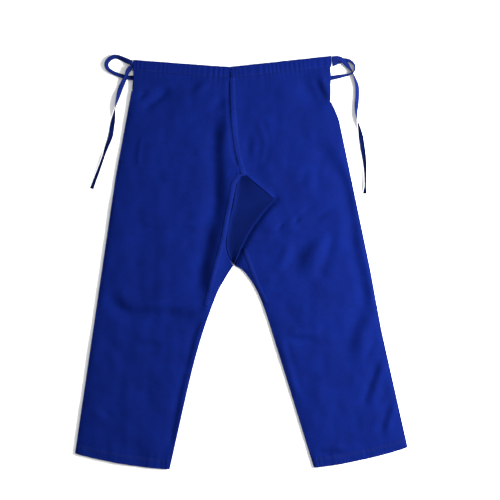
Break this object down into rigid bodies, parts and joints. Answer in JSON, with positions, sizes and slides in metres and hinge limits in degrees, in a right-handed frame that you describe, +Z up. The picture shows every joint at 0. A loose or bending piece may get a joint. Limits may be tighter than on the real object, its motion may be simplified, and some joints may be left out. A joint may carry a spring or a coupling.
{
  "type": "martial arts trousers",
  "caption": "Blue cotton judo or jiu-jitsu trousers lying flat, with a drawcord waist, side vents, a crotch gusset and turned hems.",
  "frame": {"origin": "middle of the trousers' bounding box, at the floor, without the free drawcord", "axes": "+X to the viewer's right, +Y from the hems to the waist, +Z up from the floor, out of the front of the trousers"},
  "size_m": [0.7991, 0.9977, 0.0136],
  "materials": {
    "cotton_drill": "matte",
    "cotton_hem": "matte",
    "cotton_seam": "matte",
    "cotton_tape": "matte"
  },
  "bodies": {
    "seat": {"left_front_panel": "cotton_drill", "left_back_panel": "cotton_drill", "right_front_panel": "cotton_drill", "right_back_panel": "cotton_drill", "gusset_front": "cotton_drill", "gusset_back": "cotton_drill", "centre_front_seam": "cotton_seam", "centre_back_seam": "cotton_seam", "left_gusset_seam": "cotton_seam", "right_gusset_seam": "cotton_seam", "left_front_vent_facing": "cotton_seam", "left_back_vent_facing": "cotton_seam", "right_front_vent_facing": "cotton_seam", "right_back_vent_facing": "cotton_seam", "waist_casing_front_left": "cotton_hem", "waist_casing_front_right": "cotton_hem", "waist_casing_back": "cotton_hem", "left_outseam_thigh": "cotton_seam", "left_inseam_thigh": "cotton_seam", "right_outseam_thigh": "cotton_seam", "right_inseam_thigh": "cotton_seam", "drawcord_front_run_lower": "cotton_tape", "drawcord_front_run_upper": "cotton_tape", "drawcord_back_run": "cotton_tape", "drawcord_left_loop": "cotton_tape", "drawcord_right_loop": "cotton_tape"},
    "left_lower_leg": {"left_front_shin": "cotton_drill", "left_back_shin": "cotton_drill", "left_front_hem": "cotton_hem", "left_back_hem": "cotton_hem", "left_outseam_shin": "cotton_seam", "left_inseam_shin": "cotton_seam"},
    "right_lower_leg": {"right_front_shin": "cotton_drill", "right_back_shin": "cotton_drill", "right_front_hem": "cotton_hem", "right_back_hem": "cotton_hem", "right_outseam_shin": "cotton_seam", "right_inseam_shin": "cotton_seam"},
    "left_tail": {"drawcord_left_root": "cotton_tape", "drawcord_left_tail": "cotton_tape"},
    "right_tail": {"drawcord_right_root": "cotton_tape", "drawcord_right_tail": "cotton_tape"}
  },
  "joints": [
    {"name": "left_leg_fold", "type": "hinge", "parent": "seat", "child": "left_lower_leg", "pos_m": [-0.23998, -0.19676, 0.014], "axis": [-0.9863, 0.165, 0], "range_deg": [0, 180]},
    {"name": "right_leg_fold", "type": "hinge", "parent": "seat", "child": "right_lower_leg", "pos_m": [0.22522, -0.19015, 0.014], "axis": [-0.9767, -0.2147, 0], "range_deg": [0, 180]},
    {"name": "left_tail_slide", "type": "slide", "parent": "seat", "child": "left_tail", "axis": [-0.9973, 0.0732, 0], "range_m": [0, 0.12], "deforming": ["drawcord_right_loop", "drawcord_front_run_lower"]},
    {"name": "right_tail_slide", "type": "slide", "parent": "seat", "child": "right_tail", "axis": [0.9941, 0.1082, 0], "range_m": [0, 0.12], "deforming": ["drawcord_left_loop", "drawcord_front_run_upper"]}
  ]
}
